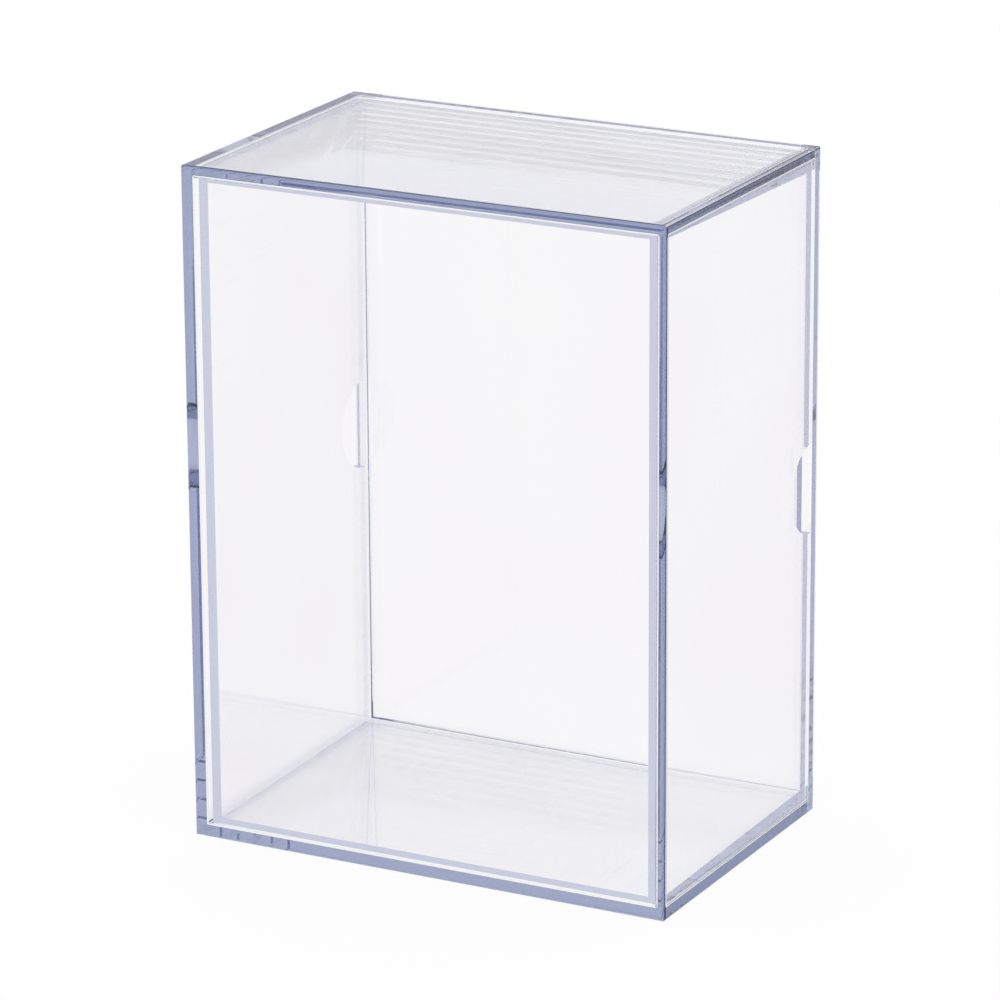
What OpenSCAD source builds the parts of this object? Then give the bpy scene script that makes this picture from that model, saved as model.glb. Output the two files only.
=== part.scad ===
// Clear two-piece slider case for trading cards, standing on its short side.
// The shell is open at the back; the tray slides out of it along +Y.
// Origin: centre of the footprint, on the surface that the case stands on.

/* [Case] */
// Outside width, left to right
case_w = 73; // [69:0.5:90]
// Outside depth, front face to back face
case_d = 48; // [24:0.5:90]
// Outside height
case_h = 96.5; // [94:0.5:120]

/* [Walls] */
// Thickness of the shell's side walls
shell_wall = 1.4; // [1:0.05:2]
// Thickness of the shell's top and bottom walls
shell_level_wall = 1.45; // [1:0.05:2]
// Thickness of the shell's front plate
front_plate = 1.2; // [1:0.05:2.5]
// Thickness of the tray's side walls at the front rim
tray_side_wall = 1.4; // [1:0.05:2]
// Thickness of the tray's top and bottom walls at the front rim
tray_level_wall = 0.9; // [0.8:0.05:2]
// How much thicker those two walls get on their way to the back plate, so that the mould's core draws out
level_wall_growth = 0.95; // [0:0.05:1]
// Thickness of the tray's back plate, which covers the shell's open end
back_plate = 2; // [1:0.05:2.5]

/* [Fit] */
// Gap between the shell and the tray at the left and at the right, at the back plate
side_gap = 0.1; // [0.1:0.05:0.5]
// How much that gap widens towards the tray's front rim, for the tray to leave its mould and enter the shell
side_taper = 0.4; // [0.05:0.05:0.6]
// Gap between the shell and the tray at the top and at the bottom
level_gap = 0.2; // [0.1:0.05:0.5]
// Gap between the shell's rear rim and the tray's back plate
seat_gap = 0.1; // [0.05:0.05:0.3]
// Gap between the tray's front rim and the shell's front plate
rim_gap = 1.1; // [0.2:0.05:2]
// How much further the middle of each side wall of the tray leans in at the free front rim
wall_bow = 0.45; // [0.1:0.05:0.8]

/* [Rounding] */
// Radius of the outside edges of both pieces
edge_r = 0.5; // [0.2:0.05:0.8]
// Radius of the shell's inside corners and of the tray's long outside edges
nest_r = 0.5; // [0.2:0.05:1.5]
// Radius of the inside corners along the tray's back plate
plate_corner_r = 0.8; // [0.2:0.05:2]

/* [Thumb notches] */
// Radius of the half-round notch in each side wall of the shell
notch_r = 6.5; // [4:0.25:12]

/* [Hidden] */
$fn = 48;
// How far a cut runs past the face that it opens
past = 1;
shell_d = case_d - back_plate - seat_gap;
tray_w = case_w - 2 * (shell_wall + side_gap);
tray_h = case_h - 2 * (shell_level_wall + level_gap);
pocket_w = tray_w - 2 * (side_taper + tray_side_wall);
pocket_h = tray_h - 2 * tray_level_wall;
plate_face_h = pocket_h - 2 * level_wall_growth;
front_y = -case_d / 2;
back_y = case_d / 2;
shell_rim_y = front_y + shell_d;
tray_rim_y = front_y + front_plate + rim_gap;
plate_face_y = back_y - back_plate;
pocket_d = plate_face_y - tray_rim_y;
// Slope of the pocket's floor and ceiling, as rise over run
core_slope = level_wall_growth / pocket_d;
mid_z = case_h / 2;
// The bow of the tray's side walls is a piece of a wide cylinder, leaning in from its root to the rim,
// and it stays this far from the rounded corners round it
bow_margin = 1.5;
bow_root_y = plate_face_y - plate_corner_r - bow_margin;
bow_half_h = plate_face_h / 2 - bow_margin;
bow_r = (bow_half_h * bow_half_h + wall_bow * wall_bow) / (2 * wall_bow);
bow_lean = atan((wall_bow + side_taper) / (bow_root_y - tray_rim_y));
// Facets of a whole turn of that cylinder, which is metres wide
bow_facets = 1440;

// Rectangle w by h about the origin, with all four corners rounded
module rounded_rect(w, h, r) {
    square([w, h - 2 * r], center = true);
    square([w - 2 * r, h], center = true);
    for (sx = [-1, 1], sy = [-1, 1])
        translate([sx * (w / 2 - r), sy * (h / 2 - r)])
            circle(r);
}

// Strip from x = 0 to x = len, with its two corners at x = 0 rounded.
// It is w wide at x = 0 and gets wider on each side by growth towards x = len.
module round_ended_strip(len, w, r, growth = 0) {
    slope = atan(growth / len);
    centre_y = w / 2 + r * tan(slope) - r / cos(slope);
    touch = [r - r * sin(slope), centre_y + r * cos(slope)];
    far = [len, w / 2 + growth];
    polygon([[0, -centre_y], [touch.x, -touch.y], [far.x, -far.y], far, touch, [0, centre_y]]);
    for (s = [-1, 1])
        translate([r, s * centre_y])
            circle(r);
}

// Straight bar from y = 0 to y = d, with its four long edges rounded
module long_bar(w, d, h, r) {
    rotate([-90, 0, 0])
        linear_extrude(d)
            rounded_rect(w, h, r);
}

// Block from y = 0 to y = d: long_r rounds its long edges, end_r the edges of its end at y = 0.
// It is the meeting of its front, plan and side outlines, so every edge is a true quarter round.
module end_block(w, d, h, long_r, end_r) {
    intersection() {
        long_bar(w, d, h, long_r);
        translate([0, 0, -h / 2])
            linear_extrude(h)
                rotate(90)
                    round_ended_strip(d, w, end_r);
        translate([-w / 2, 0, 0])
            rotate([90, 0, 90])
                linear_extrude(w)
                    round_ended_strip(d, h, end_r);
    }
}

// The pair of thumb notches, each a half round on the shell's rear rim at mid height
module thumb_notches() {
    for (side = [0, 1])
        mirror([side, 0, 0])
            translate([case_w / 2 - shell_wall - past, shell_rim_y, mid_z])
                rotate([0, 90, 0])
                    cylinder(r = notch_r, h = shell_wall + 2 * past);
}

// The pair of wide cylinders that the bowed side walls follow, r in radius
module side_bows(r) {
    for (side = [0, 1])
        mirror([side, 0, 0])
            translate([tray_w / 2 + bow_r / cos(bow_lean), bow_root_y, mid_z])
                rotate([90, 0, -bow_lean])
                    translate([0, 0, -past])
                        cylinder(r = r, h = bow_root_y - tray_rim_y + 2 * past, $fn = bow_facets);
}

// Sleeve with a closed front plate, open at the back
module outer_shell() {
    color([0.86, 0.89, 0.97, 0.35])
        difference() {
            translate([0, front_y, mid_z])
                end_block(case_w, shell_d, case_h, edge_r, edge_r);
            translate([0, front_y + front_plate, mid_z])
                end_block(case_w - 2 * shell_wall, case_d, case_h - 2 * shell_level_wall, nest_r, nest_r);
            thumb_notches();
        }
}

// The tray's four walls as one solid bar, with its sides tapered and bowed in towards the rim
module tray_sleeve() {
    rim_half_w = tray_w / 2 - side_taper;
    difference() {
        intersection() {
            translate([0, tray_rim_y, mid_z])
                long_bar(tray_w, back_y - back_plate / 2 - tray_rim_y, tray_h, nest_r);
            linear_extrude(case_h)
                polygon([
                    [rim_half_w, tray_rim_y], [tray_w / 2, plate_face_y], [tray_w / 2, back_y],
                    [-tray_w / 2, back_y], [-tray_w / 2, plate_face_y], [-rim_half_w, tray_rim_y],
                ]);
        }
        side_bows(bow_r);
    }
}

// The space for the cards, open at the front: its floor and ceiling slope in towards the back plate
module card_pocket() {
    cut_d = pocket_d + past;
    difference() {
        intersection() {
            translate([0, plate_face_y, mid_z - case_h / 2])
                linear_extrude(case_h)
                    rotate(-90)
                        round_ended_strip(cut_d, pocket_w, plate_corner_r);
            translate([-case_w / 2, plate_face_y, mid_z])
                rotate([90, 0, 90])
                    linear_extrude(case_w)
                        mirror([1, 0, 0])
                            round_ended_strip(cut_d, plate_face_h, plate_corner_r, core_slope * cut_d);
        }
        side_bows(bow_r + tray_side_wall);
    }
}

// Back plate as large as the shell's outline, with the tray's four walls standing on its front face
module inner_tray() {
    color([0.80, 0.84, 0.96, 0.35])
        difference() {
            union() {
                translate([0, back_y, mid_z])
                    mirror([0, 1, 0])
                        end_block(case_w, back_plate, case_h, edge_r, edge_r);
                tray_sleeve();
            }
            card_pocket();
        }
}

outer_shell();
inner_tray();
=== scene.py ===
"""Dresses the clear trading card slider case and sets it in a white studio."""

import math

import bmesh
import bpy
from bpy.props import FloatProperty, FloatVectorProperty, PointerProperty
from bpy.types import Operator, Panel, PropertyGroup
from mathutils import Matrix, Vector

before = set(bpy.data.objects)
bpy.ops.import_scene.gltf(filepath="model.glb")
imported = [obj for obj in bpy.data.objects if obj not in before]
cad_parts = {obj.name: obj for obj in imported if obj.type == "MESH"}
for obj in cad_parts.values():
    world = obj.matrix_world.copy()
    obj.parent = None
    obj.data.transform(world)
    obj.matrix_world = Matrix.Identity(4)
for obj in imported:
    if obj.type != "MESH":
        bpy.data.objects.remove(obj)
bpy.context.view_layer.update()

bl_info = {
    "name": "Card Slider Case",
    "version": (1, 0, 0),
    "blender": (4, 5, 0),
    "location": "View3D > Sidebar > Card Case",
    "description": "Clear two-piece slider case for trading cards, in a white studio",
    "category": "Object",
}

MM = 0.001
WHITE = (1.0, 1.0, 1.0, 1.0)

# How large the plastic's marks are, and how far each is drawn out along the three axes
WAVE_SIZE = 14 * MM
CLOUD_SIZE = 26 * MM
FLOW_SIZE, FLOW_STRETCH = 0.9 * MM, (40.0, 1.0, 40.0)
SCUFF_SIZE, SCUFF_STRETCH = 0.22 * MM, (1.0, 60.0, 1.0)
# How the hairline scuffs are turned: askew on the shell, and along its travel on the tray
SHELL_SCUFF_TURN = (0.5, 0.4, 0.9)
TRAY_SCUFF_TURN = (0.0, 0.0, 0.0)
# Where in the noise a mark begins and where it is full
SCUFF_BAND = (0.73, 0.78)
SCUFFED_PATCH_BAND = (0.45, 0.6)
CLOUD_BAND = (0.35, 0.65)

# The point that the camera looks at: this far to the right in the picture, and this high
AIM_RIGHT, AIM_HEIGHT = -0.588 * MM, 47.5 * MM
SENSOR_WIDTH = 36.0
NEAREST_SEEN, FURTHEST_SEEN = 0.05, 50.0
# The floor lies a hair below the case, so that the two never share a plane
FLOOR_RADIUS, FLOOR_DROP, FLOOR_SIDES = 3.0, 0.1 * MM, 96
FLOOR_WHITE = (0.97, 0.97, 0.97, 1.0)
# Share of the shadow-taking paper in what the camera sees of the floor; the rest of it glows
SHADOW_SHARE = 0.06
# Light crosses dozens of the plastic's faces before it gets out, so a ray isn't ended by chance
# before the sure bounces, and never goes on after the most
MOST_BOUNCES, SURE_BOUNCES = 256, 16

# Numbers of sockets whose names don't tell them apart
OBJECT_COORDINATES = 3
MIX_FACTOR, MIX_FIRST, MIX_SECOND, MIX_COLOUR = 0, 6, 7, 2


class PlasticSettings(PropertyGroup):
    """What the clear polystyrene looks like"""

    ior: FloatProperty(
        name="Refractive index",
        description="How strongly the plastic bends light",
        default=1.59,
        min=1.3,
        max=1.8,
    )
    depth_colour: FloatVectorProperty(
        name="Depth colour",
        description="Colour that light keeps after a long way inside the plastic",
        subtype="COLOR",
        size=3,
        default=(0.35, 0.44, 0.67),
        min=0.0,
        max=1.0,
    )
    shell_depth: FloatProperty(
        name="Shell depth strength",
        description="How much of the other colours is lost in each metre of the shell's plastic",
        default=32.0,
        min=0.0,
        max=200.0,
    )
    tray_depth: FloatProperty(
        name="Tray depth strength",
        description="How much of the other colours is lost in each metre of the tray's plastic",
        default=19.0,
        min=0.0,
        max=200.0,
    )
    wave_height: FloatProperty(
        name="Wave height",
        description="Height of the slow waves that moulding leaves in the walls",
        subtype="DISTANCE",
        unit="LENGTH",
        default=0.012 * MM,
        min=0.0,
        max=0.1 * MM,
        precision=6,
    )
    flow_height: FloatProperty(
        name="Flow line height",
        description="Height of the fine lines that the plastic leaves as it flows through the mould",
        subtype="DISTANCE",
        unit="LENGTH",
        default=0.0012 * MM,
        min=0.0,
        max=0.05 * MM,
        precision=6,
    )
    # Painted soft shade: the clouds' faint tint stands in for soft shade and reflections on the walls,
    # along with a faint stress tint
    painted_shade_cloud_colour: FloatVectorProperty(
        name="Cloud colour",
        description="Faint tint of the soft clouds where the plastic cooled under stress",
        subtype="COLOR",
        size=3,
        default=(0.990, 0.984, 0.992),
        min=0.0,
        max=1.0,
    )
    scuff_roughness: FloatProperty(
        name="Scuff roughness",
        description="Roughness of the few hairline scuffs on the polished faces",
        subtype="FACTOR",
        default=0.16,
        min=0.0,
        max=1.0,
    )


class StudioSettings(PropertyGroup):
    """Where the camera stands, and the white that the plastic shows"""

    azimuth: FloatProperty(
        name="Camera azimuth",
        description="Turn of the camera round the case, from straight in front",
        subtype="ANGLE",
        default=math.radians(27.81),
    )
    elevation: FloatProperty(
        name="Camera elevation",
        description="Height of the camera above the horizon",
        subtype="ANGLE",
        default=math.radians(17.57),
    )
    roll: FloatProperty(
        name="Camera roll",
        description="Lean of the camera to one side",
        subtype="ANGLE",
        default=math.radians(-0.35),
    )
    distance: FloatProperty(
        name="Camera distance",
        description="From the lens to the point that it looks at",
        subtype="DISTANCE",
        unit="LENGTH",
        default=0.776,
    )
    lens: FloatProperty(
        name="Lens",
        description="Focal length on a sensor 36 mm wide",
        subtype="DISTANCE_CAMERA",
        default=202.4,
    )
    paper: FloatVectorProperty(
        name="Paper colour",
        description="The faintly warm white that the plastic shows of the floor and the walls",
        subtype="COLOR",
        size=3,
        default=(1.0, 0.985, 0.977),
        min=0.0,
        max=1.0,
    )


class Value:
    """A number that varies over a surface: one output socket, with Python's operators as Math nodes"""

    def __init__(self, tree, socket):
        self.tree = tree
        self.socket = socket

    def math(self, operation, other=0.0, first=True):
        node = self.tree.nodes.new("ShaderNodeMath")
        node.operation = operation
        own, its = (0, 1) if first else (1, 0)
        self.tree.links.new(self.socket, node.inputs[own])
        if isinstance(other, Value):
            self.tree.links.new(other.socket, node.inputs[its])
        else:
            node.inputs[its].default_value = other
        return Value(self.tree, node.outputs[0])

    def __add__(self, other):
        return self.math("ADD", other)

    def __sub__(self, other):
        return self.math("SUBTRACT", other)

    def __rsub__(self, other):
        return self.math("SUBTRACT", other, first=False)

    def __mul__(self, other):
        return self.math("MULTIPLY", other)

    __radd__ = __add__
    __rmul__ = __mul__

    def clamped(self):
        return self.math("MAXIMUM", 0.0).math("MINIMUM", 1.0)

    def ramped(self, low, high):
        """0 below low, 1 above high, and straight between them"""
        return ((self - low) * (1.0 / (high - low))).clamped()


class NodeTree:
    """A material's or the world's nodes, written one call at a time"""

    def __init__(self, tree):
        self.tree = tree
        tree.nodes.clear()

    def node(self, kind, settings=None, sockets=None):
        made = self.tree.nodes.new(kind)
        for name, setting in (settings or {}).items():
            setattr(made, name, setting)
        for name, value in (sockets or {}).items():
            if isinstance(value, Value):
                self.tree.links.new(value.socket, made.inputs[name])
            elif isinstance(value, bpy.types.NodeSocket):
                self.tree.links.new(value, made.inputs[name])
            else:
                made.inputs[name].default_value = value
        return made

    def noise(self, size, stretch=(1.0, 1.0, 1.0), turn=(0.0, 0.0, 0.0), detail=0.0):
        """Noise whose blots are size metres across, drawn out stretch times along each axis"""
        place = self.node("ShaderNodeTexCoord").outputs[OBJECT_COORDINATES]
        as_point = {"vector_type": "POINT"}
        turned = self.node("ShaderNodeMapping", as_point, {"Vector": place, "Rotation": turn})
        scale = tuple(1.0 / (size * along) for along in stretch)
        scaled = self.node("ShaderNodeMapping", as_point, {"Vector": turned.outputs[0], "Scale": scale})
        grain = self.node(
            "ShaderNodeTexNoise",
            sockets={"Vector": scaled.outputs[0], "Scale": 1.0, "Detail": detail, "Roughness": 0.5},
        )
        return Value(self.tree, grain.outputs[0])

    def colour_mix(self, factor, first, second):
        """The first colour where factor is 0, the second where it is 1"""
        mix = self.node(
            "ShaderNodeMix",
            {"data_type": "RGBA"},
            {MIX_FACTOR: factor, MIX_FIRST: first, MIX_SECOND: second},
        )
        return mix.outputs[MIX_COLOUR]

    def shader_mix(self, factor, first, second):
        """The first shader where factor is 0, the second where it is 1"""
        mix = self.node(
            "ShaderNodeMixShader",
            sockets={0: factor, 1: first.outputs[0], 2: second.outputs[0]},
        )
        return mix.outputs[0]

    def light_path(self, *names):
        """1 for a ray of any of these kinds, otherwise 0"""
        path = self.node("ShaderNodeLightPath")
        total = Value(self.tree, path.outputs[names[0]])
        for name in names[1:]:
            total = total + Value(self.tree, path.outputs[name])
        return total.clamped()

    def bump(self, height, distance, normal=None):
        """Normals of a surface raised by height times distance metres, on top of normal"""
        sockets = {"Height": height, "Distance": distance, "Strength": 1.0}
        if normal is not None:
            sockets["Normal"] = normal
        return self.node("ShaderNodeBump", sockets=sockets).outputs[0]


def clear_plastic(name, settings, depth, scuff_turn):
    """Clear polystyrene: sharp gloss, blue where light runs a long way inside it, its faint marks, and
    faint clouds of painted soft shade.

    depth is the strength of that blue, and scuff_turn turns the hairline scuffs."""
    material = bpy.data.materials.new(name)
    material.use_nodes = True
    nodes = NodeTree(material.node_tree)
    waves = nodes.noise(WAVE_SIZE)
    lines = nodes.noise(FLOW_SIZE, stretch=FLOW_STRETCH)
    normal = nodes.bump(lines, settings.flow_height, nodes.bump(waves, settings.wave_height))
    scuffs = nodes.noise(SCUFF_SIZE, stretch=SCUFF_STRETCH, turn=scuff_turn).ramped(*SCUFF_BAND)
    clouds = nodes.noise(CLOUD_SIZE, detail=1.0)
    marks = scuffs * clouds.ramped(*SCUFFED_PATCH_BAND)
    # Painted soft shade: faint clouds of tint in the base colour stand in for soft shade and reflections,
    # with a faint stress tint
    tint = nodes.colour_mix(clouds.ramped(*CLOUD_BAND), (*settings.painted_shade_cloud_colour, 1.0), WHITE)
    surface = nodes.node(
        "ShaderNodeBsdfPrincipled",
        sockets={
            "Base Color": tint,
            "Roughness": marks * settings.scuff_roughness,
            "IOR": settings.ior,
            "Transmission Weight": 1.0,
            "Normal": normal,
        },
    )
    inside = nodes.node(
        "ShaderNodeVolumeAbsorption",
        sockets={"Color": (*settings.depth_colour, 1.0), "Density": depth},
    )
    nodes.node(
        "ShaderNodeOutputMaterial",
        sockets={"Surface": surface.outputs[0], "Volume": inside.outputs[0]},
    )
    return material


def dress(node_name, material):
    """Puts one material on every slot of a CAD node"""
    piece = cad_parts[node_name]
    piece.data.materials.clear()
    piece.data.materials.append(material)


def aim_camera(settings):
    """Stands the camera off from the case, at the photograph's angle"""
    azimuth, elevation = settings.azimuth, settings.elevation
    back = Vector(
        (
            math.sin(azimuth) * math.cos(elevation),
            -math.cos(azimuth) * math.cos(elevation),
            math.sin(elevation),
        )
    )
    right = Vector((math.cos(azimuth), math.sin(azimuth), 0.0))
    up = back.cross(right)
    along, across = math.cos(settings.roll), math.sin(settings.roll)
    leaning_right = right * along + up * across
    leaning_up = up * along - right * across
    rotation = Matrix((leaning_right, leaning_up, back)).transposed()
    point = Vector((0.0, 0.0, AIM_HEIGHT)) + leaning_right * AIM_RIGHT
    data = bpy.data.cameras.new("camera")
    data.lens = settings.lens
    data.sensor_width = SENSOR_WIDTH
    data.clip_start = NEAREST_SEEN
    data.clip_end = FURTHEST_SEEN
    camera = bpy.data.objects.new("camera", data)
    camera.matrix_world = Matrix.Translation(point + back * settings.distance) @ rotation.to_4x4()
    bpy.context.scene.collection.objects.link(camera)
    bpy.context.scene.camera = camera


def studio_world(settings):
    """White all round, and the colour of the paper in what the plastic mirrors and lets through"""
    world = bpy.data.worlds.new("studio")
    world.use_nodes = True
    nodes = NodeTree(world.node_tree)
    plain = nodes.node("ShaderNodeBackground", sockets={"Color": WHITE, "Strength": 1.0})
    paper = nodes.node("ShaderNodeBackground", sockets={"Color": (*settings.paper, 1.0), "Strength": 1.0})
    through_plastic = nodes.light_path("Is Glossy Ray", "Is Transmission Ray")
    surface = nodes.shader_mix(through_plastic, plain, paper)
    nodes.node("ShaderNodeOutputWorld", sockets={"Surface": surface})
    return world


def floor_material(settings):
    """White paper: it takes the case's shadow, and glows softly as an evenly lit studio floor does"""
    material = bpy.data.materials.new("white_paper")
    material.use_nodes = True
    nodes = NodeTree(material.node_tree)
    camera = nodes.light_path("Is Camera Ray")
    seen = nodes.light_path("Is Camera Ray", "Is Glossy Ray", "Is Transmission Ray")
    tone = nodes.colour_mix(camera, (*settings.paper, 1.0), WHITE)
    diffuse = nodes.node("ShaderNodeBsdfDiffuse", sockets={"Color": FLOOR_WHITE})
    glow = nodes.node("ShaderNodeEmission", sockets={"Color": tone, "Strength": 1.0})
    surface = nodes.shader_mix(seen * (1.0 - SHADOW_SHARE * camera), diffuse, glow)
    nodes.node("ShaderNodeOutputMaterial", sockets={"Surface": surface})
    return material


def lay_floor(settings):
    """Lays a wide round sheet of paper just under the case"""
    mesh = bpy.data.meshes.new("floor")
    bm = bmesh.new()
    bmesh.ops.create_circle(
        bm,
        cap_ends=True,
        segments=FLOOR_SIDES,
        radius=FLOOR_RADIUS,
        matrix=Matrix.Translation((0.0, 0.0, -FLOOR_DROP)),
    )
    bm.to_mesh(mesh)
    bm.free()
    mesh.materials.append(floor_material(settings))
    floor = bpy.data.objects.new("floor", mesh)
    bpy.context.scene.collection.objects.link(floor)


class CASE_OT_outer_shell(Operator):
    """Dresses the outer shell in clear plastic"""

    bl_idname = "card_case.outer_shell"
    bl_label = "Outer Shell"

    def execute(self, context):
        settings = context.scene.case_plastic
        material = clear_plastic("shell_polystyrene", settings, settings.shell_depth, SHELL_SCUFF_TURN)
        dress("outer_shell", material)
        return {"FINISHED"}


class CASE_OT_inner_tray(Operator):
    """Dresses the inner tray in clear plastic, with hairlines along the way that it slides"""

    bl_idname = "card_case.inner_tray"
    bl_label = "Inner Tray"

    def execute(self, context):
        settings = context.scene.case_plastic
        material = clear_plastic("tray_polystyrene", settings, settings.tray_depth, TRAY_SCUFF_TURN)
        dress("inner_tray", material)
        return {"FINISHED"}


class CASE_OT_studio(Operator):
    """Builds the white studio and stands the camera in it"""

    bl_idname = "card_case.studio"
    bl_label = "Studio"

    def execute(self, context):
        settings = context.scene.case_studio
        scene = context.scene
        aim_camera(settings)
        scene.world = studio_world(settings)
        lay_floor(settings)
        scene.view_settings.view_transform = "Standard"
        scene.cycles.max_bounces = MOST_BOUNCES
        scene.cycles.transmission_bounces = MOST_BOUNCES
        scene.cycles.glossy_bounces = MOST_BOUNCES
        scene.cycles.min_light_bounces = SURE_BOUNCES
        return {"FINISHED"}


class CASE_PT_panel(Panel):
    """Lists the case's pieces and the studio in the sidebar"""

    bl_idname = "CASE_PT_panel"
    bl_label = "Card Case"
    bl_space_type = "VIEW_3D"
    bl_region_type = "UI"
    bl_category = "Card Case"

    def draw(self, context):
        layout = self.layout
        for operator in OPERATORS:
            layout.operator(operator.bl_idname)
        for settings in (context.scene.case_plastic, context.scene.case_studio):
            box = layout.box()
            for name in settings.bl_rna.properties.keys():
                if name not in ("rna_type", "name"):
                    box.prop(settings, name)


OPERATORS = (CASE_OT_outer_shell, CASE_OT_inner_tray, CASE_OT_studio)
CLASSES = (PlasticSettings, StudioSettings, *OPERATORS, CASE_PT_panel)


def register():
    for cls in CLASSES:
        bpy.utils.register_class(cls)
    bpy.types.Scene.case_plastic = PointerProperty(type=PlasticSettings)
    bpy.types.Scene.case_studio = PointerProperty(type=StudioSettings)


def unregister():
    del bpy.types.Scene.case_studio
    del bpy.types.Scene.case_plastic
    for cls in reversed(CLASSES):
        bpy.utils.unregister_class(cls)


def main():
    register()
    for operator in OPERATORS:
        group, name = operator.bl_idname.split(".")
        getattr(getattr(bpy.ops, group), name)()
    bpy.context.view_layer.update()


if __name__ == "__main__":
    main()
